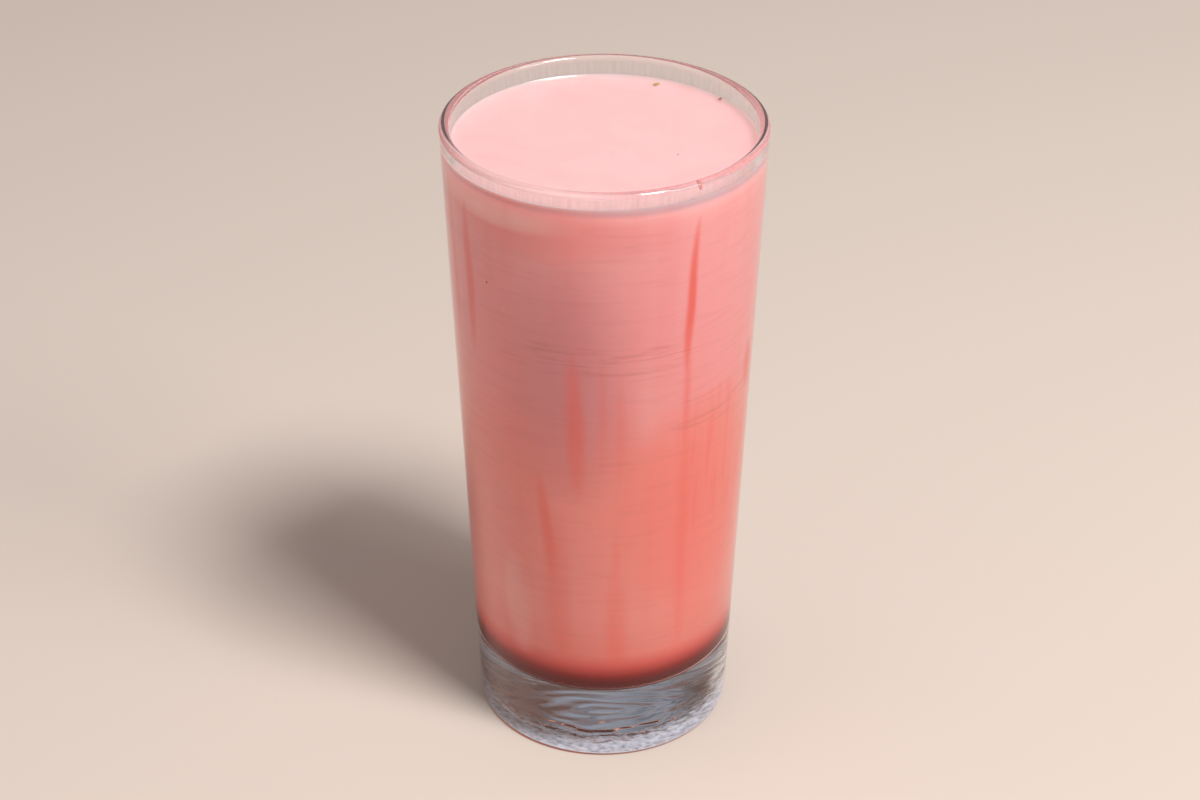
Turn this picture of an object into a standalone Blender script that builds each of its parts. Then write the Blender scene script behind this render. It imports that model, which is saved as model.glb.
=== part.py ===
"""A strawberry milkshake in a tall tumbler.

The tumbler is one piece of clear glass with a thick base. The drink stands
in it up to a little under the rim, on a thin layer of dark red syrup.
Lengths are in metres, and +Z is up.
"""

import math

import bmesh
import bpy

# Outside of the tumbler
GLASS_HEIGHT = 0.1482
RIM_RADIUS = 0.0350
HEEL_WALL_RADIUS = 0.0293
HEEL_ROUNDING = 0.0015

# Underside: a flat ring to stand on, round a shallow flat recess with a soft step
FOOT_RING_INNER_RADIUS = 0.0245
RECESS_EDGE_RADIUS = 0.0220
RECESS_DEPTH = 0.0006

# Wall and cavity
RIM_WALL = 0.0022
LOWER_WALL = 0.0026
BASE_THICKNESS = 0.0168
CAVITY_CORNER_ROUNDING = 0.0060

# Contents
DRINK_LEVEL = 0.1427
MENISCUS_RISE = 0.0014
MENISCUS_DECAY = 0.0020
MENISCUS_REACH = 0.0090
SYRUP_LEVEL = 0.0235
GAP = 0.0003

# Fineness of the turned shapes
SIDES = 96
HEEL_STEPS = 4
RIM_STEPS = 10
CORNER_STEPS = 8
RECESS_STEPS = 4
MENISCUS_STEPS = 9
MERGE_DISTANCE = 1e-6
SHARP_ANGLE = math.radians(35)


def clear_scene():
    for obj in list(bpy.data.objects):
        bpy.data.objects.remove(obj, do_unlink=True)


def outer_radius(z):
    """Outside radius of the tapered wall at height z."""
    share = (z - HEEL_ROUNDING) / (GLASS_HEIGHT - HEEL_ROUNDING)
    return HEEL_WALL_RADIUS + share * (RIM_RADIUS - HEEL_WALL_RADIUS)


def inner_radius(z):
    """Inside radius of the wall, which thickens a little towards the base."""
    share = (z - BASE_THICKNESS) / (GLASS_HEIGHT - BASE_THICKNESS)
    return outer_radius(z) - LOWER_WALL - share * (RIM_WALL - LOWER_WALL)


def arc(centre, radius, start, end, steps):
    """Points (r, z) along an arc, with its angles in degrees from the outward direction."""
    angles = [math.radians(start + (end - start) * i / steps) for i in range(steps + 1)]
    return [
        (centre[0] + radius * math.cos(a), centre[1] + radius * math.sin(a))
        for a in angles
    ]


def cavity_corner(rounding):
    """The rounded corner between the cavity's floor and its wall, from the floor up."""
    height = BASE_THICKNESS + CAVITY_CORNER_ROUNDING
    centre = (inner_radius(height) - CAVITY_CORNER_ROUNDING, height)
    return arc(centre, rounding, -90, 0, CORNER_STEPS)


def meniscus(edge_radius):
    """The drink's surface where it climbs to the wall, from the wall inwards."""
    points = []
    for i in range(MENISCUS_STEPS + 1):
        inwards = MENISCUS_REACH * (i / MENISCUS_STEPS) ** 2
        rise = MENISCUS_RISE * math.exp(-inwards / MENISCUS_DECAY)
        points.append((edge_radius - inwards, DRINK_LEVEL + rise))
    return points


def recess_step():
    """The soft step from the recess down to the foot ring, going outwards."""
    width = FOOT_RING_INNER_RADIUS - RECESS_EDGE_RADIUS
    shares = [i / RECESS_STEPS for i in range(RECESS_STEPS + 1)]
    return [
        (RECESS_EDGE_RADIUS + width * share, RECESS_DEPTH * (1 + math.cos(math.pi * share)) / 2)
        for share in shares
    ]


def glass_profile():
    recess = [(0.0, RECESS_DEPTH)] + recess_step()
    heel_centre = (HEEL_WALL_RADIUS - HEEL_ROUNDING, HEEL_ROUNDING)
    heel = arc(heel_centre, HEEL_ROUNDING, -90, 0, HEEL_STEPS)
    rim_rounding = RIM_WALL / 2
    rim_centre = (RIM_RADIUS - rim_rounding, GLASS_HEIGHT - rim_rounding)
    rim = arc(rim_centre, rim_rounding, 0, 180, RIM_STEPS)
    corner = cavity_corner(CAVITY_CORNER_ROUNDING)
    return recess + heel + rim + corner[::-1] + [(0.0, BASE_THICKNESS)]


def milkshake_profile():
    bottom = SYRUP_LEVEL + GAP
    contact = DRINK_LEVEL + MENISCUS_RISE
    side = [
        (inner_radius(bottom) - GAP, bottom),
        (inner_radius(contact) - GAP, contact),
    ]
    surface = meniscus(side[1][0])
    return [(0.0, bottom)] + side + surface[1:] + [(0.0, DRINK_LEVEL)]


def syrup_profile():
    corner = cavity_corner(CAVITY_CORNER_ROUNDING - GAP)
    edge = (inner_radius(SYRUP_LEVEL) - GAP, SYRUP_LEVEL)
    return [(0.0, corner[0][1])] + corner + [edge, (0.0, SYRUP_LEVEL)]


def turned(name, profile, material):
    """A closed solid turned round +Z from a profile that starts and ends on the axis."""
    mesh = bpy.data.meshes.new(name)
    form = bmesh.new()
    points = [form.verts.new((r, 0.0, z)) for r, z in profile]
    edges = [form.edges.new(pair) for pair in zip(points, points[1:])]
    bmesh.ops.spin(
        form,
        geom=points + edges,
        cent=(0, 0, 0),
        axis=(0, 0, 1),
        angle=math.tau,
        steps=SIDES,
        use_merge=True,
    )
    bmesh.ops.remove_doubles(form, verts=form.verts, dist=MERGE_DISTANCE)
    bmesh.ops.recalc_face_normals(form, faces=form.faces)
    form.to_mesh(mesh)
    form.free()
    mesh.shade_smooth()
    mesh.set_sharp_from_angle(angle=SHARP_ANGLE)
    mesh.materials.append(material)
    obj = bpy.data.objects.new(name, mesh)
    bpy.context.scene.collection.objects.link(obj)
    return obj


def make_material(name, colour, roughness, ior, transmission=0.0, subsurface=0.0):
    material = bpy.data.materials.new(name)
    material.use_nodes = True
    shader = material.node_tree.nodes["Principled BSDF"]
    shader.inputs["Base Color"].default_value = (*colour, 1.0)
    shader.inputs["Roughness"].default_value = roughness
    shader.inputs["Metallic"].default_value = 0.0
    shader.inputs["IOR"].default_value = ior
    shader.inputs["Transmission Weight"].default_value = transmission
    shader.inputs["Subsurface Weight"].default_value = subsurface
    return material


def main():
    clear_scene()
    clear_glass = make_material("clear_glass", (0.96, 0.97, 0.97), 0.02, 1.50, transmission=1.0)
    milk_pink = make_material("strawberry_milk", (0.86, 0.34, 0.31), 0.25, 1.35, subsurface=0.5)
    syrup_red = make_material("strawberry_syrup", (0.17, 0.012, 0.009), 0.15, 1.40)
    turned("glass", glass_profile(), clear_glass)
    turned("milkshake", milkshake_profile(), milk_pink)
    turned("syrup", syrup_profile(), syrup_red)


main()
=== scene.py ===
"""Looks of a strawberry milkshake in a tall tumbler, laid out as an add-on and run as a script.

The clear glass, the pink drink with syrup running down inside the wall, the dark syrup at the
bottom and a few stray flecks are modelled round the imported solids, with a plain floor and soft light.
"""

import math

import bpy
from bpy.props import FloatProperty, FloatVectorProperty, IntProperty, PointerProperty
from mathutils import Matrix, Vector


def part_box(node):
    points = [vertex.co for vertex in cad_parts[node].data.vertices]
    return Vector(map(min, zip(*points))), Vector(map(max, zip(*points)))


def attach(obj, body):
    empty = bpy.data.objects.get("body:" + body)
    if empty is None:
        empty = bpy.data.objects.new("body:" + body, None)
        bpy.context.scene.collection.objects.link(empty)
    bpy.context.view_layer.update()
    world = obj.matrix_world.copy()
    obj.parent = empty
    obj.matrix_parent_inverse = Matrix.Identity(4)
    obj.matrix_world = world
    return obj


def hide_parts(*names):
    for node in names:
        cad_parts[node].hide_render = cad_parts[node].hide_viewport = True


bl_info = {
    "name": "Milkshake in a tumbler",
    "version": (1, 0, 0),
    "blender": (4, 5, 0),
    "location": "3D View > Sidebar > Milkshake",
    "description": "Models the glass, the drink and its light",
    "category": "Object",
}

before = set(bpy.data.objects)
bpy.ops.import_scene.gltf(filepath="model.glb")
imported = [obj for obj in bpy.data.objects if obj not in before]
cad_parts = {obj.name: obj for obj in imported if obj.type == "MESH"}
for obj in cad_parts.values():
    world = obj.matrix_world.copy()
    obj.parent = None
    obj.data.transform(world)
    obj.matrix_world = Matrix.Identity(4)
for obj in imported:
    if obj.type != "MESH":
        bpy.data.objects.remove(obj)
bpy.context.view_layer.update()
GLASS_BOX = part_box("glass")
SYRUP_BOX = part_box("syrup")
MM = 0.001
BODY = "root"

# Typical refraction of soda-lime glass and of milk with syrup
GLASS_IOR = 1.5
MILK_IOR = 1.35


def linear(hex_colour):
    """An sRGB hex colour as opaque linear light."""
    parts = [int(hex_colour[i:i + 2], 16) / 255 for i in (1, 3, 5)]
    curve = [p / 12.92 if p <= 0.04045 else ((p + 0.055) / 1.055) ** 2.4 for p in parts]
    return (*curve, 1.0)


def add_node(tree, kind, inputs=None, **settings):
    """Adds a node with its settings; an input takes a value, an output socket, or a node for its first output."""
    node = tree.nodes.new(kind)
    for name, value in settings.items():
        setattr(node, name, value)
    for key, value in (inputs or {}).items():
        if isinstance(value, bpy.types.Node):
            value = value.outputs[0]
        if isinstance(value, bpy.types.NodeSocket):
            tree.links.new(value, node.inputs[key])
        else:
            node.inputs[key].default_value = value
    return node


def new_material(name):
    """An empty node material; returns it, its tree and its output node."""
    material = bpy.data.materials.new(name)
    material.use_nodes = True
    tree = material.node_tree
    tree.nodes.clear()
    return material, tree, add_node(tree, "ShaderNodeOutputMaterial")


def add_link(tree, shader, output):
    """Links a shader node to the surface of an output node."""
    tree.links.new(shader.outputs[0], output.inputs["Surface"])


class TumblerSizes(bpy.types.PropertyGroup):
    """Sizes of the glass"""

    rim_radius: FloatProperty(
        name="Rim radius", description="Outside radius at the rim", subtype="DISTANCE", unit="LENGTH",
        default=GLASS_BOX[1].x)
    height: FloatProperty(
        name="Height", description="From the table to the top of the rim", subtype="DISTANCE", unit="LENGTH",
        default=GLASS_BOX[1].z)
    heel_radius: FloatProperty(
        name="Heel radius", description="Outside radius just above the rounded heel", subtype="DISTANCE",
        unit="LENGTH", default=29.3 * MM)
    rim_wall: FloatProperty(
        name="Wall at the rim", description="Thickness of the rounded rim", subtype="DISTANCE", unit="LENGTH",
        default=2.2 * MM)
    lower_wall: FloatProperty(
        name="Wall at the base", description="Thickness of the wall just above the base", subtype="DISTANCE",
        unit="LENGTH", default=2.6 * MM)
    base_thickness: FloatProperty(
        name="Base thickness", description="Solid glass under the drink", subtype="DISTANCE", unit="LENGTH",
        default=16.8 * MM)
    sides: IntProperty(name="Sides", description="Faces round the glass", default=256)


class DrinkLooks(bpy.types.PropertyGroup):
    """Levels and colours of the drink and its syrup"""

    level: FloatProperty(
        name="Level", description="Flat surface of the drink above the table", subtype="DISTANCE",
        unit="LENGTH", default=142.7 * MM)
    meniscus_rise: FloatProperty(
        name="Meniscus", description="How far the surface climbs up the wall", subtype="DISTANCE",
        unit="LENGTH", default=1.4 * MM)
    syrup_level: FloatProperty(
        name="Syrup level", description="Top of the dark syrup", subtype="DISTANCE", unit="LENGTH",
        default=SYRUP_BOX[1].z)
    surface_colour: FloatVectorProperty(
        name="Surface", description="Blended milk at its open surface", subtype="COLOR", size=4,
        default=linear("#EAB9B8"))
    film_colour: FloatVectorProperty(
        name="Runs", description="Syrup that runs down the wall", subtype="COLOR", size=4,
        default=linear("#E95A4A"))


# Smaller sizes of the glass and the drink, and how far the finishes of the underside reach
PROFILE = {
    "heel_rounding": 1.5 * MM,
    "foot_ring_inner_radius": 24.5 * MM,
    "recess_edge_radius": 22.0 * MM,
    "recess_depth": 0.6 * MM,
    "underside_margin": 0.1 * MM,
    "stipple_start_radius": 13.0 * MM,
    "stipple_full_radius": 22.0 * MM,
    "bare_heel_radius": 26.6 * MM,
    "cavity_rounding": 6.0 * MM,
    "reach_into_wall": 0.1 * MM,
    "dip_into_syrup": 0.3 * MM,
    "meniscus_decay": 2.3 * MM,
    "meniscus_share": 0.6,
    "meniscus_edge_decay": 0.5 * MM,
    "meniscus_edge_share": 0.4,
    "meniscus_reach": 9.0 * MM,
}

# Faces along the curved parts of the turned outlines
STEPS = {"corner": 24, "recess": 12, "heel": 10, "rim": 32, "meniscus": 28, "drink_side": 6}

# Radii or heights in mm of the rings that divide the plain parts, and shares of the radius for the cavity's floor
RINGS = {
    "recess": (2, 7, 11, 15, 18.5),
    "outside": (20, 45, 70, 95, 120, 145),
    "inside": (144, 125, 100, 75, 50, 25),
    "drink_bottom": (10,),
    "drink_surface": (12, 4),
    "syrup_surface": (15, 5),
    "floor_shares": (0.7, 0.3),
}

# Edges that turn by less than this many degrees are shaded smooth
SMOOTH_ANGLE = 40
FLECK_SMOOTH_ANGLE = 60


def outer_radius(sizes, z):
    """Outside radius of the tapered wall at height z."""
    low = PROFILE["heel_rounding"]
    return sizes.heel_radius + (z - low) / (sizes.height - low) * (sizes.rim_radius - sizes.heel_radius)


def inner_radius(sizes, z):
    """Inside radius of the wall at height z."""
    share = (z - sizes.base_thickness) / (sizes.height - sizes.base_thickness)
    return outer_radius(sizes, z) - sizes.lower_wall - share * (sizes.rim_wall - sizes.lower_wall)


def arc(centre, radius, start, end, steps):
    """Points (r, z) along an arc, with its angles in degrees from the outward direction."""
    angles = [math.radians(start + (end - start) * i / steps) for i in range(steps + 1)]
    return [(centre[0] + radius * math.cos(a), centre[1] + radius * math.sin(a)) for a in angles]


def cavity_corner(sizes, rounding):
    """The rounded corner of the cavity, from the floor up to the wall."""
    height = sizes.base_thickness + PROFILE["cavity_rounding"]
    centre = (inner_radius(sizes, height) - PROFILE["cavity_rounding"], height)
    return arc(centre, rounding, -90, 0, STEPS["corner"])


def grow_rings(name, rings, sides):
    """A closed turned body: a circle is extruded and resized from ring to ring, and its two ends are drawn
    to a point."""
    bpy.ops.object.select_all(action="DESELECT")
    radius, height = rings[0]
    bpy.ops.mesh.primitive_circle_add(vertices=sides, radius=radius, enter_editmode=True)
    piece = bpy.context.object
    piece.name = piece.data.name = name
    bpy.ops.transform.translate(value=(0, 0, height))
    bpy.ops.mesh.extrude_region_move(TRANSFORM_OT_translate={"value": (0, 0, 0)})
    bpy.ops.mesh.merge(type="CENTER")
    bpy.ops.mesh.select_all(action="SELECT")
    select_ring(piece, radius, height)
    for new_radius, new_height in rings[1:]:
        bpy.ops.mesh.extrude_region_move(TRANSFORM_OT_translate={"value": (0, 0, new_height - height)})
        share = new_radius / radius
        bpy.ops.transform.resize(value=(share, share, 1), center_override=(0, 0, new_height))
        radius, height = new_radius, new_height
    bpy.ops.mesh.extrude_region_move(TRANSFORM_OT_translate={"value": (0, 0, 0)})
    bpy.ops.mesh.merge(type="CENTER")
    bpy.ops.mesh.select_all(action="SELECT")
    bpy.ops.mesh.normals_make_consistent(inside=False)
    bpy.ops.object.mode_set(mode="OBJECT")
    return piece


def select_ring(piece, radius, height):
    """In edit mode, selects only the points on the ring of this radius and height."""
    bpy.ops.mesh.select_all(action="DESELECT")
    bpy.ops.object.mode_set(mode="OBJECT")
    near = 1e-5
    for point in piece.data.vertices:
        at = math.hypot(point.co.x, point.co.y)
        point.select = abs(at - radius) < near and abs(point.co.z - height) < near
    bpy.ops.object.mode_set(mode="EDIT")
    bpy.ops.mesh.select_mode(type="VERT")


def smooth(piece, degrees):
    """Shades a piece smooth where its faces meet at less than this angle."""
    bpy.ops.object.select_all(action="DESELECT")
    piece.select_set(True)
    bpy.context.view_layer.objects.active = piece
    bpy.ops.object.shade_smooth_by_angle(angle=math.radians(degrees))


def recess_step():
    """The soft step from the recess under the base down to the foot ring."""
    start, end = PROFILE["recess_edge_radius"], PROFILE["foot_ring_inner_radius"]
    shares = [i / STEPS["recess"] for i in range(STEPS["recess"] + 1)]
    return [
        (start + (end - start) * s, PROFILE["recess_depth"] * (1 + math.cos(math.pi * s)) / 2)
        for s in shares
    ]


def glass_rings(sizes):
    """The tumbler's outline from the middle of its underside, up the outside, over the rim and down the inside."""
    heel = PROFILE["heel_rounding"]
    recess = [(r * MM, PROFILE["recess_depth"]) for r in RINGS["recess"]] + recess_step()
    heel_arc = arc((sizes.heel_radius - heel, heel), heel, -90, 0, STEPS["heel"])
    half = sizes.rim_wall / 2
    rim_arc = arc((sizes.rim_radius - half, sizes.height - half), half, 0, 180, STEPS["rim"])
    wall = [(outer_radius(sizes, z * MM), z * MM) for z in RINGS["outside"]]
    corner = cavity_corner(sizes, PROFILE["cavity_rounding"])
    inside = [(inner_radius(sizes, z * MM), z * MM) for z in RINGS["inside"]]
    floor = [(corner[0][0] * share, sizes.base_thickness) for share in RINGS["floor_shares"]]
    return recess + heel_arc + wall + rim_arc + inside + corner[::-1] + floor


def meniscus_rings(looks, edge_radius):
    """The drink's surface from the wall inwards: a wide rise, with a tight one against the glass."""
    rings = []
    for i in range(STEPS["meniscus"] + 1):
        inwards = PROFILE["meniscus_reach"] * (i / STEPS["meniscus"]) ** 2
        wide = math.exp(-inwards / PROFILE["meniscus_decay"])
        tight = math.exp(-inwards / PROFILE["meniscus_edge_decay"])
        rise = looks.meniscus_rise * (PROFILE["meniscus_share"] * wide + PROFILE["meniscus_edge_share"] * tight)
        rings.append((edge_radius - inwards, looks.level + rise))
    return rings


def drink_rings(sizes, looks):
    """The drink from the middle of its bottom, which dips into the syrup, up the wall and over its surface."""
    reach = PROFILE["reach_into_wall"]
    bottom = looks.syrup_level
    dip = PROFILE["dip_into_syrup"]
    contact = looks.level + looks.meniscus_rise
    low = [(r * MM, bottom - dip) for r in RINGS["drink_bottom"]]
    edge = (inner_radius(sizes, bottom) - dip, bottom - dip)
    steps = STEPS["drink_side"]
    side = [
        (inner_radius(sizes, z) + reach, z)
        for z in [bottom + (contact - bottom) * k / steps for k in range(steps + 1)]
    ]
    surface = meniscus_rings(looks, side[-1][0])
    return low + [edge] + side + surface[1:] + [(r * MM, looks.level) for r in RINGS["drink_surface"]]


def syrup_rings(sizes, looks):
    """The syrup from the middle of the cavity's floor, round its corner and up to the syrup's level."""
    reach = PROFILE["reach_into_wall"]
    corner = cavity_corner(sizes, PROFILE["cavity_rounding"] + reach)
    edge = (inner_radius(sizes, looks.syrup_level) + reach, looks.syrup_level)
    floor = [(corner[0][0] * share, corner[0][1]) for share in reversed(RINGS["floor_shares"])]
    surface = [(r * MM, looks.syrup_level) for r in RINGS["syrup_surface"]]
    return floor + corner + [edge] + surface


def place_in_mm(tree):
    """The point on the piece in millimetres."""
    place = add_node(tree, "ShaderNodeTexCoord").outputs["Object"]
    return add_node(tree, "ShaderNodeVectorMath", {0: place, "Scale": 1 / MM}, operation="SCALE")


def height_in_mm(tree, in_mm):
    """The height of that point above the table."""
    return add_node(tree, "ShaderNodeSeparateXYZ", {0: in_mm}).outputs["Z"]


def clear_for_light(tree, glass, passed="#F4F6F6"):
    """Glass for the camera and for mirrors. Light that falls on what is behind it goes straight through in the
    colour that is passed, so that the drink in the glass is lit evenly."""
    clear = add_node(tree, "ShaderNodeBsdfTransparent", {"Color": linear(passed)})
    path = add_node(tree, "ShaderNodeLightPath")
    unbent = add_node(tree, "ShaderNodeMixShader", {0: path.outputs["Is Diffuse Ray"], 1: glass, 2: clear})
    return add_node(tree, "ShaderNodeMixShader", {0: path.outputs["Is Shadow Ray"], 1: unbent, 2: clear})


def soda_lime_wall():
    """Soda-lime glass, pressed and fire polished: clear, almost colourless, with sharp reflections."""
    material, tree, output = new_material("fire_polished_soda_lime_glass")
    glass = add_node(tree, "ShaderNodeBsdfPrincipled", {
        "Base Color": linear("#F8FAFA"), "Roughness": 0.0, "IOR": GLASS_IOR, "Transmission Weight": 1.0})
    add_link(tree, clear_for_light(tree, glass), output)
    return material


def soda_lime_rim():
    """The fire-polished rim of the same glass, with a thin pale film of milk over its bead, thicker towards the
    front left."""
    material, tree, output = new_material("fire_polished_glass_rim")
    in_mm = place_in_mm(tree)
    glass = add_node(tree, "ShaderNodeBsdfPrincipled", {
        "Base Color": linear("#FBEFF1"), "Roughness": 0.0, "IOR": GLASS_IOR, "Transmission Weight": 1.0})
    tint = add_node(tree, "ShaderNodeBsdfPrincipled", {
        "Base Color": linear("#F8D2D2"), "Roughness": 0.3, "Specular IOR Level": 0.0})

    # How far a point lies towards the front left, in mm
    towards_front_left = (-0.55, -0.83, 0.0)
    front_left_reach = add_node(tree, "ShaderNodeVectorMath", {0: in_mm, 1: towards_front_left}, operation="DOT_PRODUCT")
    share = add_node(tree, "ShaderNodeMapRange", {
        "Value": front_left_reach.outputs["Value"], "From Min": 25.0, "From Max": 33.0, "To Min": 0.1, "To Max": 0.5})
    bead = add_node(tree, "ShaderNodeMixShader", {0: share, 1: glass, 2: tint})
    add_link(tree, clear_for_light(tree, bead), output)
    return material


def milk_filmed_wall():
    """The inside of the wall above the drink, with a thin film of dried milk in upright hairlines, a little
    under 1 mm apart."""
    material, tree, output = new_material("milk_filmed_soda_lime_glass")
    in_mm = place_in_mm(tree)
    glass = add_node(tree, "ShaderNodeBsdfPrincipled", {
        "Base Color": linear("#F8FAFA"), "Roughness": 0.0, "IOR": GLASS_IOR, "Transmission Weight": 1.0})
    upright = add_node(tree, "ShaderNodeVectorMath", {0: in_mm, 1: (1.3, 1.3, 0.15)}, operation="MULTIPLY")
    hairs = add_node(tree, "ShaderNodeTexNoise", {"Vector": upright, "Scale": 1.0, "Detail": 2.0})
    share = add_node(tree, "ShaderNodeMapRange", {
        "Value": hairs, "From Min": 0.35, "From Max": 0.75, "To Min": 0.07, "To Max": 0.17})
    film = add_node(tree, "ShaderNodeBsdfPrincipled", {
        "Base Color": linear("#BEA0AB"), "Roughness": 0.5, "Specular IOR Level": 0.0})
    wall = add_node(tree, "ShaderNodeMixShader", {0: share, 1: glass, 2: film})
    add_link(tree, clear_for_light(tree, wall), output)
    return material


def pressed_underside():
    """The underside of the pressed base: shiny, with uneven rings 4 to 5 mm apart left by the mould. Outwards it
    turns into a stippled bearing ring, with grains about 1 mm across that scatter light as frost does. Light that
    passes it on its way to the floor is given a red brown tint, which draws the line where the glass stands."""
    material, tree, output = new_material("pressed_glass_underside")
    in_mm = place_in_mm(tree)
    rings = add_node(tree, "ShaderNodeTexWave", {
        "Vector": in_mm, "Scale": 0.07, "Distortion": 7.0, "Detail": 1.5, "Detail Scale": 1.4},
        wave_type="RINGS", rings_direction="Z")
    ripples = add_node(tree, "ShaderNodeTexNoise", {
        "Vector": in_mm, "Scale": 0.16, "Detail": 1.0, "Roughness": 0.4})
    ringed = add_node(tree, "ShaderNodeBump", {"Strength": 1.0, "Distance": 0.05 * MM, "Height": rings})
    wavy = add_node(tree, "ShaderNodeBump", {
        "Strength": 1.0, "Distance": 0.2 * MM, "Height": ripples, "Normal": ringed})

    # The stipple sets in between the recess and the flat ring round it, unevenly by half this spread in mm
    spread = 14.0
    patches = add_node(tree, "ShaderNodeTexNoise", {"Vector": in_mm, "Scale": 0.6, "Detail": 3.0})
    across = add_node(tree, "ShaderNodeVectorMath", {0: in_mm, 1: (1.0, 1.0, 0.0)}, operation="MULTIPLY")
    radius = add_node(tree, "ShaderNodeVectorMath", {0: across}, operation="LENGTH").outputs["Value"]
    shifted = add_node(tree, "ShaderNodeMath", {0: patches, 1: spread, 2: radius}, operation="MULTIPLY_ADD")
    stipple = add_node(tree, "ShaderNodeMapRange", {
        "Value": shifted, "From Min": PROFILE["stipple_start_radius"] / MM + spread / 2,
        "From Max": PROFILE["stipple_full_radius"] / MM + spread / 2}, interpolation_type="SMOOTHSTEP")
    grains = add_node(tree, "ShaderNodeTexVoronoi", {"Vector": in_mm, "Scale": 0.9})
    grainy = add_node(tree, "ShaderNodeBump", {
        "Strength": stipple.outputs[0], "Distance": 0.09 * MM, "Height": grains, "Normal": wavy})
    roughness = add_node(tree, "ShaderNodeMath", {0: stipple, 1: 0.1}, operation="MULTIPLY")
    glass = add_node(tree, "ShaderNodeBsdfPrincipled", {
        "Base Color": linear("#F6F9FA"), "Roughness": roughness, "IOR": GLASS_IOR, "Transmission Weight": 1.0,
        "Normal": grainy})
    frosted = add_node(tree, "ShaderNodeMapRange", {
        "Value": patches, "From Min": 0.35, "From Max": 0.65, "To Min": 0.35, "To Max": 0.72})

    # The rounded heel is fire polished again
    bare_from = PROFILE["bare_heel_radius"] / MM
    fade = 1.2
    polished = add_node(tree, "ShaderNodeMapRange", {
        "Value": radius, "From Min": bare_from, "From Max": bare_from + fade,
        "To Min": 1.0, "To Max": 0.0}, interpolation_type="SMOOTHSTEP")
    share = add_node(tree, "ShaderNodeMath", {0: frosted, 1: stipple}, operation="MULTIPLY")
    share = add_node(tree, "ShaderNodeMath", {0: share, 1: polished}, operation="MULTIPLY")
    frost = add_node(tree, "ShaderNodeBsdfDiffuse", {"Color": linear("#E2E2F0"), "Normal": grainy})
    underside = add_node(tree, "ShaderNodeMixShader", {0: share, 1: glass, 2: frost})
    add_link(tree, clear_for_light(tree, underside, "#A8604F"), output)
    return material


def syrup_run_group():
    """One run of syrup down the wall: a spindle that starts at its top height, swells, and thins out towards
    its end. The same shape, made wide and soft, is a patch of darker, paler or more salmon milk, or of painted
    glow."""
    group = bpy.data.node_groups.new("syrup_run", "ShaderNodeTree")
    for name in ("Azimuth", "Top", "Bottom", "Half Width", "Lean", "Softness", "Strength", "Wobble"):
        group.interface.new_socket(name, in_out="INPUT", socket_type="NodeSocketFloat")
    group.interface.new_socket("Amount", in_out="OUTPUT", socket_type="NodeSocketFloat")
    given = add_node(group, "NodeGroupInput").outputs
    in_mm = place_in_mm(group)
    height = height_in_mm(group, in_mm)
    cos = add_node(group, "ShaderNodeMath", {0: given["Azimuth"]}, operation="COSINE")
    sin = add_node(group, "ShaderNodeMath", {0: given["Azimuth"]}, operation="SINE")
    back = add_node(group, "ShaderNodeMath", {0: sin, 1: -1.0}, operation="MULTIPLY")
    outward = add_node(group, "ShaderNodeCombineXYZ", {"X": cos, "Y": sin})
    along = add_node(group, "ShaderNodeCombineXYZ", {"X": back, "Y": cos})
    facing = add_node(group, "ShaderNodeVectorMath", {0: in_mm, 1: outward}, operation="DOT_PRODUCT")
    near = add_node(group, "ShaderNodeMath", {0: facing.outputs["Value"], 1: 0.0}, operation="GREATER_THAN")
    sideways = add_node(group, "ShaderNodeVectorMath", {0: in_mm, 1: along}, operation="DOT_PRODUCT")
    wavering = add_node(
        group, "ShaderNodeMath", {0: sideways.outputs["Value"], 1: given["Wobble"]}, operation="ADD")
    fallen = add_node(group, "ShaderNodeMath", {0: given["Top"], 1: height}, operation="SUBTRACT")
    leaning = add_node(group, "ShaderNodeMath", {0: fallen, 1: given["Lean"]}, operation="MULTIPLY")
    off = add_node(group, "ShaderNodeMath", {0: wavering, 1: leaning}, operation="SUBTRACT")
    distance = add_node(group, "ShaderNodeMath", {0: off}, operation="ABSOLUTE")
    share = add_node(group, "ShaderNodeMapRange", {
        "Value": height, "From Min": given["Top"], "From Max": given["Bottom"]})
    turn = add_node(group, "ShaderNodeMath", {0: share, 1: math.pi}, operation="MULTIPLY")
    swell = add_node(group, "ShaderNodeMath", {0: turn}, operation="SINE")
    fullness = 0.45
    bulge = add_node(group, "ShaderNodeMath", {0: swell, 1: fullness}, operation="POWER")
    half = add_node(group, "ShaderNodeMath", {0: given["Half Width"], 1: bulge}, operation="MULTIPLY")
    inner = add_node(group, "ShaderNodeMath", {0: half, 1: given["Softness"]}, operation="SUBTRACT")
    outer = add_node(group, "ShaderNodeMath", {0: half, 1: given["Softness"]}, operation="ADD")
    spread = add_node(group, "ShaderNodeMapRange", {
        "Value": distance, "From Min": inner, "From Max": outer, "To Min": 1.0, "To Max": 0.0},
        interpolation_type="SMOOTHSTEP")
    body = add_node(group, "ShaderNodeMath", {0: spread, 1: bulge}, operation="MULTIPLY")
    strong = add_node(group, "ShaderNodeMath", {0: body, 1: given["Strength"]}, operation="MULTIPLY")
    amount = add_node(group, "ShaderNodeMath", {0: strong, 1: near}, operation="MULTIPLY")
    add_node(group, "NodeGroupOutput", {"Amount": amount})
    return group


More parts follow.
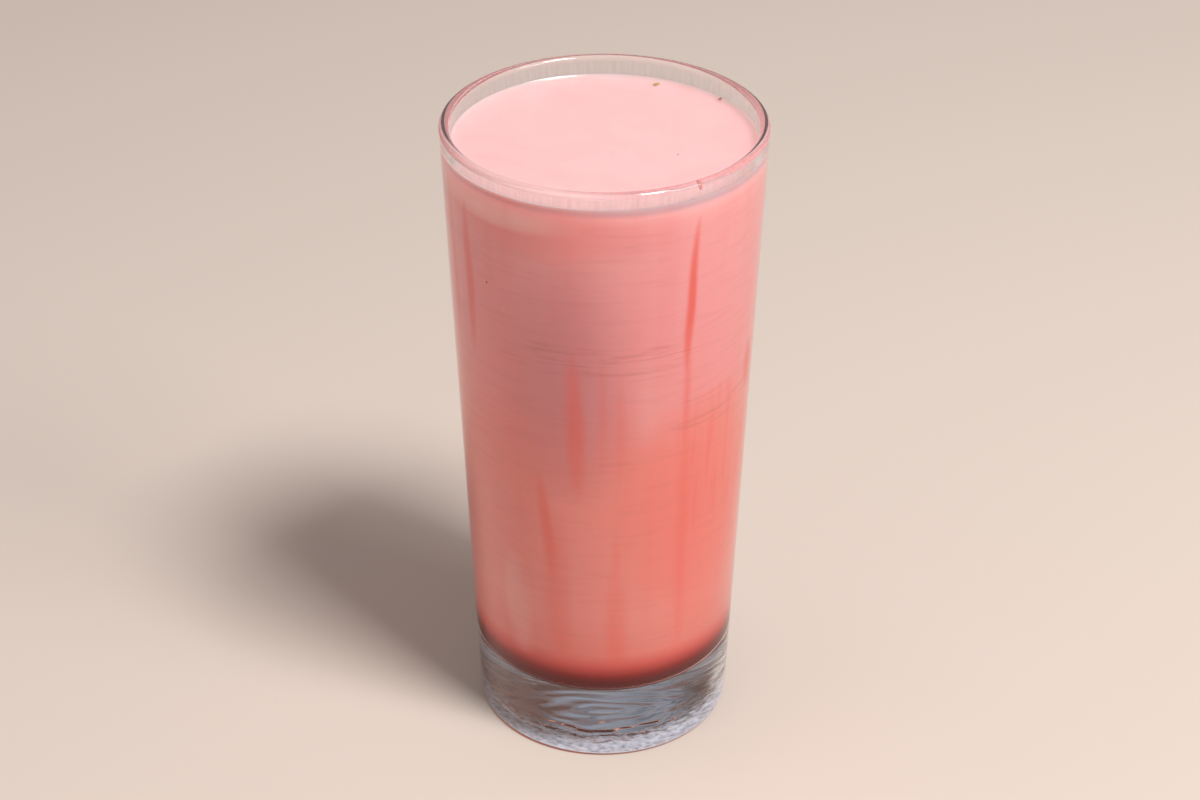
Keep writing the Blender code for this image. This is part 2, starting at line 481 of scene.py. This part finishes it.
# What clings to the inside of the wall: azimuth in degrees, top, bottom and half width in mm, lean, softness in mm
# and strength
SYRUP_RUNS = (
    (-54.8, 140.0, 100.0, 1.0, -0.03, 0.7, 0.85),
    (-56.4, 120.0, 78.0, 0.8, 0.0, 0.9, 0.42),
    (-55.2, 96.0, 22.0, 1.3, 0.0, 1.4, 0.34),
    (-148.5, 139.0, 101.0, 1.4, 0.0, 1.0, 0.55),
    (-161.8, 142.0, 98.0, 1.4, 0.0, 1.4, 0.42),
    (-102.5, 111.0, 72.0, 1.7, 0.03, 1.4, 0.50),
    (-90.6, 111.0, 78.0, 0.9, 0.0, 1.1, 0.22),
    (-83.9, 103.0, 74.0, 1.3, 0.02, 1.5, 0.24),
    (-117.0, 78.0, 44.0, 1.5, 0.09, 1.2, 0.52),
    (-112.2, 70.0, 16.0, 2.8, 0.03, 2.4, 0.32),
    (-85.3, 66.0, 36.0, 1.1, 0.0, 1.2, 0.26),
    (-85.3, 58.0, 12.0, 2.2, 0.0, 1.8, 0.34),
    (-17.5, 101.0, 88.0, 2.2, 0.06, 1.4, 0.75),
    (48.0, 128.0, 70.0, 1.2, 0.0, 1.0, 0.55),
    (104.0, 112.0, 30.0, 1.8, 0.02, 1.5, 0.50),
    (152.0, 134.0, 92.0, 1.0, 0.0, 0.9, 0.60),
    (12.0, 84.0, 24.0, 1.6, -0.02, 1.4, 0.45),
)
DARKER_MILK = (
    (-103.0, 132.0, 70.0, 10.0, 0.0, 9.0, 0.42),
    (60.0, 120.0, 60.0, 8.0, 0.0, 8.0, 0.30),
)
PALER_MILK = (
    (-131.5, 54.0, 25.0, 3.0, 0.03, 2.2, 0.65),
    (-73.0, 110.0, 86.0, 3.6, 0.0, 3.4, 0.35),
    (140.0, 70.0, 28.0, 4.0, 0.0, 3.0, 0.60),
)
# A painted glow near the surface on the shaded side, standing in for light that shines down through the milk
PAINTED_GLOW_MILK = (
    (-134.0, 142.7, 136.0, 12.0, 0.0, 10.0, 0.65),
)
SALMON_MILK = (
    (-44.0, 96.0, 30.0, 15.0, 0.0, 9.0, 0.70),
    (-110.0, 147.0, 130.0, 18.0, 0.0, 9.0, 0.28),
    (78.0, 90.0, 34.0, 13.0, 0.0, 9.0, 0.60),
)

# Patches with their colours, each laid over the ones before it
MILK_PATCHES = (
    (DARKER_MILK, "#AC6A70"),
    (SALMON_MILK, "#EC7668"),
    (PALER_MILK, "#ECAAA2"),
    (PAINTED_GLOW_MILK, "#FACCC8"),
)

# Where the fine threads and the ripple lines show most
THREADED_PART = (
    (-38.0, 97.0, 58.0, 11.0, 0.0, 6.0, 1.0),
    (90.0, 92.0, 40.0, 12.0, 0.0, 6.0, 0.8),
)
RIPPLED_PART = (
    (-95.0, 114.0, 101.0, 21.0, 0.0, 5.0, 1.0),
    (-42.0, 97.0, 86.0, 14.0, 0.0, 4.0, 0.9),
    (-85.5, 83.5, 79.5, 3.5, 0.0, 1.5, 0.8),
    (95.0, 110.0, 98.0, 18.0, 0.0, 5.0, 1.0),
)


def clinging(tree, group, wobble, runs):
    """How much clings to the wall at each place, from 0 to 1: the strongest of the runs there."""
    most = None
    for azimuth, *sizes in runs:
        run = add_node(tree, "ShaderNodeGroup", node_tree=group)
        for socket, value in zip(run.inputs, (math.radians(azimuth), *sizes)):
            socket.default_value = value
        tree.links.new(wobble.outputs[0], run.inputs["Wobble"])
        most = run if most is None else add_node(tree, "ShaderNodeMath", {0: most, 1: run}, operation="MAXIMUM")
    return most


# Colour of the drink behind the glass by height in mm: dark syrup, red where the two mix, salmon, pink, then a
# pale band of painted light and a greyer band of painted shade where the surface climbs the wall
DRINK_COLOURS = (
    (20.8, "#640503"),
    (22.6, "#84130F"),
    (24.1, "#BE3E35"),
    (26.2, "#DA6159"),
    (29.0, "#E48176"),
    (40.0, "#E99087"),
    (80.0, "#EC8C82"),
    (98.0, "#EC9492"),
    (118.0, "#ED9999"),
    (136.5, "#F0A09F"),
    (140.0, "#F2A7A5"),
    # Painted light, then painted shade, where the surface climbs the wall
    (142.0, "#F7B6B6"),
    (142.9, "#CEA8AF"),
)


def drink_by_height(tree, height):
    """A colour ramp from the table up to a little above the rim, with the drink's colours at their heights."""
    top = 150.0
    levels, colours = zip(*DRINK_COLOURS)
    share = add_node(tree, "ShaderNodeMath", {0: height, 1: top}, operation="DIVIDE")
    node = add_node(tree, "ShaderNodeValToRGB", {0: share})
    stops = node.color_ramp.elements
    while len(stops) < len(DRINK_COLOURS):
        stops.new(0.5)
    for stop, level in zip(stops, levels):
        stop.position = level / top
    for stop, colour in zip(stops, colours):
        stop.color = linear(colour)
    return node


def milk_surface(looks):
    """Blended milk and strawberry at its open surface: a pale, opaque, slightly glossy liquid, with swirls about
    20 mm wide and the small pits of burst bubbles."""
    material, tree, output = new_material("blended_strawberry_milk_surface")
    in_mm = place_in_mm(tree)
    swirl = add_node(tree, "ShaderNodeTexNoise", {
        "Vector": in_mm, "Scale": 0.05, "Detail": 3.0, "Distortion": 1.2})
    share = add_node(tree, "ShaderNodeMapRange", {
        "Value": swirl, "From Min": 0.4, "From Max": 0.75, "To Min": 0.0, "To Max": 0.5})
    colour = add_node(tree, "ShaderNodeMix", {
        0: share, 6: tuple(looks.surface_colour), 7: linear("#E6ADAA")}, data_type="RGBA")
    bubbles = add_node(tree, "ShaderNodeTexVoronoi", {"Vector": in_mm, "Scale": 0.8})
    pits = add_node(tree, "ShaderNodeMapRange", {
        "Value": bubbles, "From Min": 0.0, "From Max": 0.18, "To Min": 1.0, "To Max": 0.0})
    dimpled = add_node(tree, "ShaderNodeBump", {"Strength": 0.25, "Distance": 0.03 * MM, "Height": pits})
    milk = add_node(tree, "ShaderNodeBsdfPrincipled", {
        "Base Color": colour.outputs[2], "Roughness": 0.15, "IOR": MILK_IOR, "Normal": dimpled,
        "Subsurface Weight": 0.6, "Subsurface Radius": (1.0, 0.4, 0.3), "Subsurface Scale": 5 * MM})
    add_link(tree, milk, output)
    return material


def milk_against_glass(looks):
    """The same milk where it wets the glass: pink at the top and salmon lower down, with patches that are darker,
    paler or more salmon, a painted glow near the surface on one side, runs of syrup, fine upright threads and dried
    ripple lines. The glass covers it, so it has no gloss of its own."""
    material, tree, output = new_material("strawberry_milk_behind_glass")
    in_mm = place_in_mm(tree)
    height = height_in_mm(tree, in_mm)
    group = syrup_run_group()
    colour = drink_by_height(tree, height)

    # Everything that clings to the wall wanders sideways by this many mm
    swing = 1.2
    slow = add_node(tree, "ShaderNodeVectorMath", {0: in_mm, 1: (0.03, 0.03, 0.045)}, operation="MULTIPLY")
    drift = add_node(tree, "ShaderNodeTexNoise", {"Vector": slow, "Scale": 1.0, "Detail": 1.0})
    wobble = add_node(tree, "ShaderNodeMapRange", {
        "Value": drift, "From Min": 0.0, "From Max": 1.0, "To Min": -swing, "To Max": swing})
    for patches, tint in MILK_PATCHES:
        share = clinging(tree, group, wobble, patches)
        colour = add_node(tree, "ShaderNodeMix", {
            0: share, 6: colour, 7: linear(tint)}, data_type="RGBA").outputs[2]

    # Broad upright bands, 6 to 10 mm wide, where a little more syrup clings to the wall
    upright = add_node(tree, "ShaderNodeVectorMath", {0: in_mm, 1: (0.13, 0.13, 0.012)}, operation="MULTIPLY")
    bands = add_node(tree, "ShaderNodeTexNoise", {
        "Vector": upright, "Scale": 1.0, "Detail": 2.0, "Roughness": 0.6})
    band_share = add_node(tree, "ShaderNodeMapRange", {
        "Value": bands, "From Min": 0.45, "From Max": 0.72, "To Min": 0.0, "To Max": 0.12})

    # Threads about 2 mm apart, in the salmon part
    fine = add_node(tree, "ShaderNodeVectorMath", {0: in_mm, 1: (0.45, 0.45, 0.03)}, operation="MULTIPLY")
    threads = add_node(tree, "ShaderNodeTexNoise", {"Vector": fine, "Scale": 1.0, "Detail": 2.0})
    thread_share = add_node(tree, "ShaderNodeMapRange", {
        "Value": threads, "From Min": 0.48, "From Max": 0.75, "To Min": 0.0, "To Max": 0.55})
    threaded = clinging(tree, group, wobble, THREADED_PART)
    low_threads = add_node(tree, "ShaderNodeMath", {0: thread_share, 1: threaded}, operation="MULTIPLY")
    thin = add_node(tree, "ShaderNodeMath", {0: band_share, 1: low_threads}, operation="ADD")
    runs = clinging(tree, group, wobble, SYRUP_RUNS)
    film = add_node(tree, "ShaderNodeMath", {0: runs, 1: thin}, operation="MAXIMUM")

    # Runs and threads fade out in the mixed zone above the settled syrup
    above_syrup = add_node(tree, "ShaderNodeMapRange", {
        "Value": height, "From Min": 24.0, "From Max": 30.0, "To Min": 0.0, "To Max": 1.0})
    film = add_node(tree, "ShaderNodeMath", {0: film, 1: above_syrup}, operation="MULTIPLY")
    colour = add_node(tree, "ShaderNodeMix", {
        0: film, 6: colour, 7: tuple(looks.film_colour)}, data_type="RGBA").outputs[2]

    # Dried ripple lines, a little over 1 mm apart, level round the wall, and faint outside their own parts
    faint = 0.28
    flat = add_node(tree, "ShaderNodeVectorMath", {0: in_mm, 1: (0.06, 0.06, 0.8)}, operation="MULTIPLY")
    rows = add_node(tree, "ShaderNodeTexNoise", {
        "Vector": flat, "Scale": 1.0, "Detail": 2.0, "Roughness": 0.6, "Distortion": 0.8})
    lines = add_node(tree, "ShaderNodeMapRange", {
        "Value": rows, "From Min": 0.5, "From Max": 0.66, "To Min": 0.0, "To Max": 0.28})
    rippled = clinging(tree, group, wobble, RIPPLED_PART)
    zone = add_node(tree, "ShaderNodeMath", {0: rippled, 1: faint}, operation="MAXIMUM")
    line_share = add_node(tree, "ShaderNodeMath", {0: lines, 1: zone}, operation="MULTIPLY")
    colour = add_node(tree, "ShaderNodeMix", {
        0: line_share, 6: colour, 7: linear("#B85C58")}, data_type="RGBA").outputs[2]

    milk = add_node(tree, "ShaderNodeBsdfPrincipled", {
        "Base Color": colour, "Roughness": 0.6, "IOR": MILK_IOR, "Specular IOR Level": 0.0,
        "Subsurface Weight": 0.6, "Subsurface Radius": (1.0, 0.35, 0.28), "Subsurface Scale": 6 * MM})
    add_link(tree, milk, output)
    return material


def settled_syrup():
    """Strawberry syrup, settled: a dark red, heavy liquid, shown as opaque. From inside the glass it mirrors at a
    low angle, because it bends light less than glass does."""
    material, tree, output = new_material("settled_strawberry_syrup")
    in_mm = place_in_mm(tree)
    syrup = add_node(tree, "ShaderNodeBsdfPrincipled", {
        "Base Color": drink_by_height(tree, height_in_mm(tree, in_mm)), "Roughness": 0.6,
        "Specular IOR Level": 0.0})
    mirror = add_node(tree, "ShaderNodeBsdfGlossy", {"Color": linear("#FFC8B8"), "Roughness": 0.02})
    syrup_from_glass = 0.93
    edge = add_node(tree, "ShaderNodeFresnel", {"IOR": syrup_from_glass})
    mix = add_node(tree, "ShaderNodeMixShader", {0: edge, 1: syrup, 2: mirror})
    add_link(tree, mix, output)
    return material


def herb_flake(name, colour, dark_colour):
    """A wet flake of leaf or seed, a bubble or a drop of milk: mottled and slightly shiny."""
    material, tree, output = new_material(name)
    in_mm = place_in_mm(tree)
    mottle = add_node(tree, "ShaderNodeTexNoise", {"Vector": in_mm, "Scale": 3.0, "Detail": 2.0})
    shade = add_node(tree, "ShaderNodeMix", {
        0: mottle, 6: linear(colour), 7: linear(dark_colour)}, data_type="RGBA")
    flake = add_node(tree, "ShaderNodeBsdfPrincipled", {"Base Color": shade.outputs[2], "Roughness": 0.4})
    add_link(tree, flake, output)
    return material


def dress(piece, node, materials):
    """Gives a finished piece its materials and its place on the body, and hides the solid that it stands for."""
    for material in materials:
        piece.data.materials.append(material)
    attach(piece, BODY)
    if node:
        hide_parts(node)


def glass_finish(sizes, looks, place):
    """Which of the glass's finishes a face has: 0 wall, 1 rim bead, 2 underside, 3 inside above the drink."""
    if place.z > sizes.height - sizes.rim_wall / 2:
        return 1
    if place.z < PROFILE["recess_depth"] + PROFILE["underside_margin"]:
        return 2
    middle = outer_radius(sizes, place.z) - sizes.rim_wall / 2
    return 3 if place.z > looks.level and math.hypot(place.x, place.y) < middle else 0


class MILKSHAKE_OT_tumbler(bpy.types.Operator):
    """Turns the clear tumbler with its thick base and rounded rim"""

    bl_idname = "milkshake.tumbler"
    bl_label = "Tumbler"

    def execute(self, context):
        sizes = context.scene.tumbler_sizes
        looks = context.scene.drink_looks
        piece = grow_rings("clear_tumbler", glass_rings(sizes), sizes.sides)
        smooth(piece, SMOOTH_ANGLE)
        finishes = [soda_lime_wall(), soda_lime_rim(), pressed_underside(), milk_filmed_wall()]
        dress(piece, "glass", finishes)
        for face in piece.data.polygons:
            face.material_index = glass_finish(sizes, looks, face.center)
        return {"FINISHED"}


class MILKSHAKE_OT_drink(bpy.types.Operator):
    """Turns the pink drink up to its level, with its surface climbing to the wall"""

    bl_idname = "milkshake.drink"
    bl_label = "Drink"

    def execute(self, context):
        sizes = context.scene.tumbler_sizes
        looks = context.scene.drink_looks
        piece = grow_rings("strawberry_drink", drink_rings(sizes, looks), sizes.sides)
        smooth(piece, SMOOTH_ANGLE)
        dress(piece, "milkshake", [milk_against_glass(looks), milk_surface(looks)])
        for face in piece.data.polygons:
            open_surface = face.center.z > looks.level - MM and face.normal.z > 0.5
            face.material_index = 1 if open_surface else 0
        return {"FINISHED"}


class MILKSHAKE_OT_syrup(bpy.types.Operator):
    """Turns the dark syrup that has settled on the cavity's floor"""

    bl_idname = "milkshake.syrup"
    bl_label = "Settled syrup"

    def execute(self, context):
        sizes = context.scene.tumbler_sizes
        looks = context.scene.drink_looks
        piece = grow_rings("settled_syrup", syrup_rings(sizes, looks), sizes.sides)
        smooth(piece, SMOOTH_ANGLE)
        dress(piece, "syrup", [settled_syrup()])
        return {"FINISHED"}


# Flecks and a smear: azimuth in degrees, radius, height, length, width and thickness in mm, turn in degrees and
# two colours
SPECKS = (
    ("green_herb_fleck", 68.4, 31.0, 143.30, 1.7, 0.9, 0.25, 35.0, "#C3AE5E", "#8E7C3A"),
    ("dark_seed_fleck", 38.5, 32.2, 143.9, 0.8, 0.5, 0.3, 35.0, "#8A6A60", "#5E433C"),
    ("pepper_fleck", -19.4, 16.3, 142.72, 0.4, 0.3, 0.2, 35.0, "#C07E78", "#9A625C"),
    ("wall_seed_fleck", -138.0, 31.75, 121.4, 0.3, 0.45, 0.5, -138.0, "#6A2A22", "#4A1E18"),
    ("wall_bubble_fleck", -129.8, 31.6, 116.6, 0.3, 0.45, 0.7, -129.8, "#EAB4AC", "#E0A29A"),
    ("milk_smear_at_rim", -55.0, 32.9, 146.8, 0.4, 0.9, 2.0, -55.0, "#EC928D", "#E47F7A"),
)

# A fleck starts as a ball 1 mm across, and its points are then moved at random by up to about the second size
FLECK_RADIUS = 0.5 * MM
FLECK_UNEVENNESS = 0.12 * MM


class MILKSHAKE_OT_specks(bpy.types.Operator):
    """Adds the stray flecks on the drink's surface and behind the wall, and the smear of milk at the rim"""

    bl_idname = "milkshake.specks"
    bl_label = "Flecks"

    def execute(self, context):
        for name, azimuth, radius, height, length, width, thickness, angle, colour, dark_colour in SPECKS:
            bpy.ops.object.select_all(action="DESELECT")
            turn = math.radians(azimuth)
            at = (radius * math.cos(turn) * MM, radius * math.sin(turn) * MM, height * MM)
            bpy.ops.mesh.primitive_ico_sphere_add(
                subdivisions=2, radius=FLECK_RADIUS, location=at, enter_editmode=True)
            fleck = bpy.context.object
            fleck.name = fleck.data.name = name
            bpy.ops.transform.resize(value=(length, width, thickness), center_override=at)
            bpy.ops.transform.vertex_random(offset=FLECK_UNEVENNESS, seed=len(name))
            bpy.ops.transform.rotate(value=-math.radians(angle), orient_axis="Z", center_override=at)
            bpy.ops.object.mode_set(mode="OBJECT")
            bpy.ops.object.transform_apply(location=True, rotation=True, scale=True)
            smooth(fleck, FLECK_SMOOTH_ANGLE)
            dress(fleck, None, [herb_flake(name, colour, dark_colour)])
        return {"FINISHED"}


# The pinhole that was fitted to the glass's outline in the photograph: its place, and its turns in degrees
CAMERA = {
    "distance": 478.65 * MM,
    "height": 374.43 * MM,
    "pitch_down": 31.695,
    "yaw_right": -0.105,
    "roll": 0.087,
    "lens_mm": 75.0,
    "sensor_mm": 36.0,
}

# Soft boxes: azimuth and elevation in degrees, distance and side in metres, power in watts and colour
LAMPS = {
    "key_soft_box": {
        "azimuth": -42.0, "elevation": 59.7, "distance": 1.5, "size": 0.38, "watts": 21.5, "colour": "#FFFFFF"},
    "side_soft_box": {
        "azimuth": -30.0, "elevation": 35.0, "distance": 1.5, "size": 0.5, "watts": 5.5, "colour": "#FFFFFF"},
}
LAMP_AIM_HEIGHT = 70 * MM

# Side of the square floor in metres, and how far it lies below the glass
FLOOR_SIZE = 6
FLOOR_CLEARANCE = 0.05 * MM


def add_camera():
    """The photograph's view: a pinhole in front of the glass, looking down on it."""
    bpy.ops.object.camera_add()
    camera = bpy.context.object
    camera.name = "view"
    camera.data.lens = CAMERA["lens_mm"]
    camera.data.sensor_width = CAMERA["sensor_mm"]
    turn = Matrix.Rotation(-math.radians(CAMERA["yaw_right"]), 4, "Z")
    tilt = Matrix.Rotation(math.radians(90 - CAMERA["pitch_down"]), 4, "X")
    roll = Matrix.Rotation(math.radians(CAMERA["roll"]), 4, "Z")
    place = Matrix.Translation((0, -CAMERA["distance"], CAMERA["height"]))
    camera.matrix_world = place @ turn @ tilt @ roll
    bpy.context.scene.camera = camera


def add_lamp(name, azimuth, elevation, distance, size, watts, colour):
    """A square soft box that points at the middle of the glass."""
    aim = Vector((0, 0, LAMP_AIM_HEIGHT))
    up, round_z = math.radians(elevation), math.radians(azimuth)
    way = Vector((math.cos(up) * math.cos(round_z), math.cos(up) * math.sin(round_z), math.sin(up)))
    bpy.ops.object.light_add(type="AREA", location=aim + way * distance)
    lamp = bpy.context.object
    lamp.name = name
    lamp.rotation_euler = way.to_track_quat("Z", "Y").to_euler()
    lamp.data.size = size
    lamp.data.energy = watts
    lamp.data.color = linear(colour)[:3]


def add_floor():
    """A plain floor of pale, nearly matt paint, a hair below the glass so that the two never share a face."""
    bpy.ops.object.select_all(action="DESELECT")
    bpy.ops.mesh.primitive_plane_add(size=FLOOR_SIZE, location=(0, 0, -FLOOR_CLEARANCE))
    floor = bpy.context.object
    floor.name = "floor"
    material, tree, output = new_material("pale_floor_paint")
    paint = add_node(tree, "ShaderNodeBsdfPrincipled", {
        "Base Color": linear("#D4C5BA"), "Roughness": 0.5, "Specular IOR Level": 0.3})
    add_link(tree, paint, output)
    floor.data.materials.append(material)


# Light of the room all round, and the parts that are laid over it: towards where, from which share to which they
# fade in, from which to which share of straight up they reach, and their linear colours
ROOM_LIGHT = (0.28, 0.275, 0.27, 1.0)
SURROUNDINGS = (
    ((-1, 0, 0), 0.35, 0.9, -2.0, 2.0, (0.94, 0.84, 0.80, 1.0)),
    ((0.25, 0.97, 0), 0.08, 0.26, 0.50, 0.74, (0.15, 0.078, 0.065, 1.0)),
    ((-0.2, 0.98, 0), 0.60, 0.82, 0.50, 0.74, (0.26, 0.28, 0.34, 1.0)),
    ((0, 0, 1), 0.78, 0.95, -2.0, 2.0, (0.38, 0.38, 0.38, 1.0)),
)


def add_world():
    """Soft light of a room all round: brighter at one side and above, and brown and bluish behind, 30 to 48 degrees
    up, where the glass's base mirrors it."""
    world = bpy.data.worlds.new("soft_studio")
    bpy.context.scene.world = world
    world.use_nodes = True
    tree = world.node_tree
    tree.nodes.clear()
    output = add_node(tree, "ShaderNodeOutputWorld")
    way = add_node(tree, "ShaderNodeTexCoord").outputs["Generated"]
    up = add_node(tree, "ShaderNodeSeparateXYZ", {0: way}).outputs["Z"]

    # The parts that the base mirrors have darker shapes, wider than they are high
    shapes_at = add_node(tree, "ShaderNodeVectorMath", {0: way, 1: (2.5, 2.5, 9.0)}, operation="MULTIPLY")
    shapes = add_node(tree, "ShaderNodeTexNoise", {"Vector": shapes_at, "Scale": 1.0, "Detail": 1.0})
    light = add_node(tree, "ShaderNodeMapRange", {
        "Value": shapes, "From Min": 0.45, "From Max": 0.62, "To Min": 1.0, "To Max": 0.4})
    fade = 0.06
    colour = ROOM_LIGHT
    for towards, start, full, lowest, highest, tint in SURROUNDINGS:
        turned = add_node(tree, "ShaderNodeVectorMath", {0: way, 1: towards}, operation="DOT_PRODUCT")
        share = add_node(tree, "ShaderNodeMapRange", {
            "Value": turned.outputs["Value"], "From Min": start, "From Max": full},
            interpolation_type="SMOOTHSTEP")
        above = add_node(tree, "ShaderNodeMapRange", {
            "Value": up, "From Min": lowest - fade, "From Max": lowest}, interpolation_type="SMOOTHSTEP")
        below = add_node(tree, "ShaderNodeMapRange", {
            "Value": up, "From Min": highest + fade, "From Max": highest}, interpolation_type="SMOOTHSTEP")
        share = add_node(tree, "ShaderNodeMath", {0: share, 1: above}, operation="MULTIPLY")
        share = add_node(tree, "ShaderNodeMath", {0: share, 1: below}, operation="MULTIPLY")
        if lowest > 0:
            tint = add_node(
                tree, "ShaderNodeVectorMath", {0: tint[:3], "Scale": light.outputs[0]}, operation="SCALE")
        colour = add_node(tree, "ShaderNodeMix", {0: share, 6: colour, 7: tint}, data_type="RGBA").outputs[2]
    sky = add_node(tree, "ShaderNodeBackground", {"Color": colour, "Strength": 1.0})
    add_link(tree, sky, output)


class MILKSHAKE_OT_stage(bpy.types.Operator):
    """Sets the camera, the two soft boxes, the plain floor and the light of the room"""

    bl_idname = "milkshake.stage"
    bl_label = "Floor, light and camera"

    def execute(self, context):
        add_camera()
        for name, lamp in LAMPS.items():
            add_lamp(name, **lamp)
        add_floor()
        add_world()
        context.scene.view_settings.view_transform = "Standard"
        return {"FINISHED"}


class MILKSHAKE_PT_panel(bpy.types.Panel):
    """Lists the sizes, the colours and the operators in the sidebar"""

    bl_label = "Milkshake"
    bl_idname = "MILKSHAKE_PT_panel"
    bl_space_type = "VIEW_3D"
    bl_region_type = "UI"
    bl_category = "Milkshake"

    def draw(self, context):
        for sizes in (context.scene.tumbler_sizes, context.scene.drink_looks):
            for name in sizes.__annotations__:
                self.layout.prop(sizes, name)
        for operator in OPERATORS:
            self.layout.operator(operator.bl_idname)


OPERATORS = (
    MILKSHAKE_OT_tumbler,
    MILKSHAKE_OT_drink,
    MILKSHAKE_OT_syrup,
    MILKSHAKE_OT_specks,
    MILKSHAKE_OT_stage,
)
CLASSES = (TumblerSizes, DrinkLooks, *OPERATORS, MILKSHAKE_PT_panel)


def register():
    """Adds the classes, and the settings to the scene."""
    for each in CLASSES:
        bpy.utils.register_class(each)
    bpy.types.Scene.tumbler_sizes = PointerProperty(type=TumblerSizes)
    bpy.types.Scene.drink_looks = PointerProperty(type=DrinkLooks)


def unregister():
    """Takes them out again."""
    del bpy.types.Scene.drink_looks
    del bpy.types.Scene.tumbler_sizes
    for each in reversed(CLASSES):
        bpy.utils.unregister_class(each)


def main():
    """Builds every piece and the stage."""
    register()
    bpy.ops.milkshake.tumbler()
    bpy.ops.milkshake.drink()
    bpy.ops.milkshake.syrup()
    bpy.ops.milkshake.specks()
    bpy.ops.milkshake.stage()


if __name__ == "__main__":
    main()
